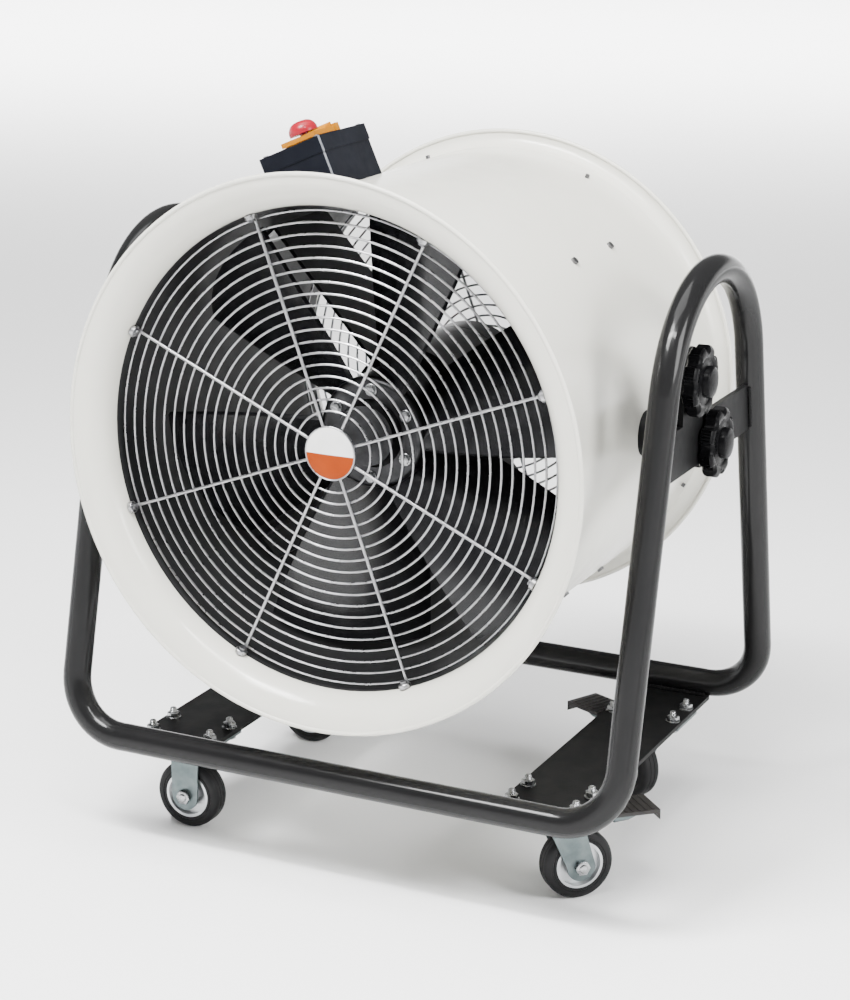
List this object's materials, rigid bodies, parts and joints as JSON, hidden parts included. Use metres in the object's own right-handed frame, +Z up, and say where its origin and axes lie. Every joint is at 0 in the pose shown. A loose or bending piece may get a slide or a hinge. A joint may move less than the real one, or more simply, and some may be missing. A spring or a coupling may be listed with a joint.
{
  "type": "portable ventilator fan",
  "caption": "Tilting axial drum fan with wire guards and a flap-type stop switch, held in a bent tube cradle on two fixed and two braked swivel castors.",
  "frame": {"origin": "on the floor under the middle of the cradle", "axes": "+X right seen from the front, +Y back along the drum's axis, +Z up; the front guard faces -Y"},
  "size_m": [0.7168, 0.52, 0.812],
  "materials": {
    "frame_paint": "gloss dark grey powder coat",
    "zinc": "bright zinc plate",
    "pedal_paint": "dark grey paint",
    "tyre_rubber": "black rubber",
    "rim_grey": "light grey moulding",
    "drum_paint": "off-white powder coat",
    "boss_paint": "dark grey powder coat",
    "guard_wire": "bright zinc-plated wire",
    "badge_print": "two-colour plain disc",
    "motor_paint": "black paint",
    "carrier_paint": "black paint",
    "shaft_steel": "ground steel",
    "hub_metal": "cast aluminium",
    "blade_plastic": "dark glossy moulding",
    "knob_plastic": "black moulding",
    "box_plastic": "black moulding",
    "switch_yellow": "amber yellow moulding",
    "stop_red": "red moulding",
    "start_green": "green moulding"
  },
  "bodies": {
    "frame": {"side_loop_left": "frame_paint", "side_loop_right": "frame_paint", "front_rail": "frame_paint", "rear_rail": "frame_paint", "base_plate_left": "frame_paint", "base_plate_right": "frame_paint", "pivot_plate_left": "frame_paint", "pivot_plate_right": "frame_paint", "castor_bolts": "zinc", "fixed_fork_front": "zinc", "fixed_fork_rear": "zinc", "fixed_axle_front": "zinc", "fixed_axle_rear": "zinc", "swivel_plate_front": "zinc", "swivel_plate_rear": "zinc", "lock_bolt_left": "zinc", "lock_bolt_right": "zinc"},
    "drum": {"drum_shell": "drum_paint", "front_grille": "guard_wire", "rear_grille": "guard_wire", "front_grille_screws": "zinc", "rear_grille_screws": "zinc", "motor_screws": "zinc", "badge": "badge_print", "motor": "motor_paint", "motor_bracket": "carrier_paint", "pivot_boss_left": "boss_paint", "pivot_boss_right": "boss_paint", "quadrant_left": "zinc", "quadrant_right": "zinc", "switch_box": "box_plastic", "switch_lid": "box_plastic", "switch_plate": "switch_yellow", "cable_gland": "box_plastic"},
    "impeller": {"motor_shaft": "shaft_steel", "impeller_hub": "hub_metal", "impeller_blades": "blade_plastic"},
    "flap": {"switch_flap": "switch_yellow"},
    "mushroom": {"stop_mushroom": "stop_red"},
    "start": {"start_button": "start_green"},
    "stop": {"stop_button": "stop_red"},
    "swivel_front": {"swivel_fork_front": "zinc", "swivel_axle_front": "zinc"},
    "pedal_front": {"brake_pedal_front": "pedal_paint"},
    "swivel_rear": {"swivel_fork_rear": "zinc", "swivel_axle_rear": "zinc"},
    "pedal_rear": {"brake_pedal_rear": "pedal_paint"},
    "wheel_left_front": {"tyre_left_front": "tyre_rubber", "rim_left_front": "rim_grey"},
    "wheel_left_rear": {"tyre_left_rear": "tyre_rubber", "rim_left_rear": "rim_grey"},
    "pivot_hand_knob_left": {"pivot_knob_left": "knob_plastic"},
    "lock_hand_knob_left": {"lock_knob_left": "knob_plastic"},
    "wheel_right_front": {"tyre_right_front": "tyre_rubber", "rim_right_front": "rim_grey"},
    "wheel_right_rear": {"tyre_right_rear": "tyre_rubber", "rim_right_rear": "rim_grey"},
    "pivot_hand_knob_right": {"pivot_knob_right": "knob_plastic"},
    "lock_hand_knob_right": {"lock_knob_right": "knob_plastic"}
  },
  "joints": [
    {"name": "drum_tilt", "type": "hinge", "parent": "frame", "child": "drum", "pos_m": [0, 0, 0.495], "axis": [-1, 0, 0], "range_deg": [-10, 55]},
    {"name": "impeller_spin", "type": "hinge", "parent": "drum", "child": "impeller", "pos_m": [0, -0.1, 0.495], "axis": [0, -1, 0], "continuous": true},
    {"name": "swivel_front_turn", "type": "hinge", "parent": "frame", "child": "swivel_front", "pos_m": [0.225, -0.149, 0.1], "axis": [0, 0, 1], "continuous": true},
    {"name": "wheel_right_front_roll", "type": "hinge", "parent": "swivel_front", "child": "wheel_right_front", "pos_m": [0.24621, -0.12779, 0.04], "axis": [-0.7071, 0.7071, 0], "continuous": true},
    {"name": "pedal_front_press", "type": "hinge", "parent": "swivel_front", "child": "pedal_front", "pos_m": [0.26601, -0.10799, 0.093], "axis": [-0.7071, 0.7071, 0], "range_deg": [0, 15]},
    {"name": "wheel_left_front_roll", "type": "hinge", "parent": "frame", "child": "wheel_left_front", "pos_m": [-0.225, -0.149, 0.04], "axis": [0, 1, 0], "continuous": true},
    {"name": "swivel_rear_turn", "type": "hinge", "parent": "frame", "child": "swivel_rear", "pos_m": [0.225, 0.149, 0.1], "axis": [0, 0, 1], "continuous": true},
    {"name": "wheel_right_rear_roll", "type": "hinge", "parent": "swivel_rear", "child": "wheel_right_rear", "pos_m": [0.19804, 0.16215, 0.04], "axis": [-0.4384, -0.8988, 0], "continuous": true},
    {"name": "pedal_rear_press", "type": "hinge", "parent": "swivel_rear", "child": "pedal_rear", "pos_m": [0.17287, 0.17443, 0.093], "axis": [-0.4384, -0.8988, 0], "range_deg": [0, 15]},
    {"name": "wheel_left_rear_roll", "type": "hinge", "parent": "frame", "child": "wheel_left_rear", "pos_m": [-0.225, 0.149, 0.04], "axis": [0, 1, 0], "continuous": true},
    {"name": "pivot_knob_left_turn", "type": "hinge", "parent": "drum", "child": "pivot_hand_knob_left", "pos_m": [-0.346, 0, 0.495], "axis": [-1, 0, 0], "range_deg": [0, 360]},
    {"name": "lock_knob_left_turn", "type": "hinge", "parent": "frame", "child": "lock_hand_knob_left", "pos_m": [-0.346, -0.061, 0.575], "axis": [-1, 0, 0], "range_deg": [0, 360]},
    {"name": "pivot_knob_right_turn", "type": "hinge", "parent": "drum", "child": "pivot_hand_knob_right", "pos_m": [0.346, 0, 0.495], "axis": [1, 0, 0], "range_deg": [0, 360]},
    {"name": "lock_knob_right_turn", "type": "hinge", "parent": "frame", "child": "lock_hand_knob_right", "pos_m": [0.346, -0.061, 0.575], "axis": [1, 0, 0], "range_deg": [0, 360]},
    {"name": "flap_open", "type": "hinge", "parent": "drum", "child": "flap", "pos_m": [-0.1326, -0.0035, 0.79282], "axis": [-0.9135, 0, -0.4067], "range_deg": [0, 100]},
    {"name": "mushroom_press", "type": "slide", "parent": "flap", "child": "mushroom", "axis": [0.4067, 0, -0.9135], "range_m": [0, 0.0025], "stiffness_N_per_m": 1500},
    {"name": "start_press", "type": "slide", "parent": "drum", "child": "start", "axis": [0.4067, 0, -0.9135], "range_m": [0, 0.003], "stiffness_N_per_m": 900},
    {"name": "stop_press", "type": "slide", "parent": "drum", "child": "stop", "axis": [0.4067, 0, -0.9135], "range_m": [0, 0.003], "stiffness_N_per_m": 900}
  ]
}
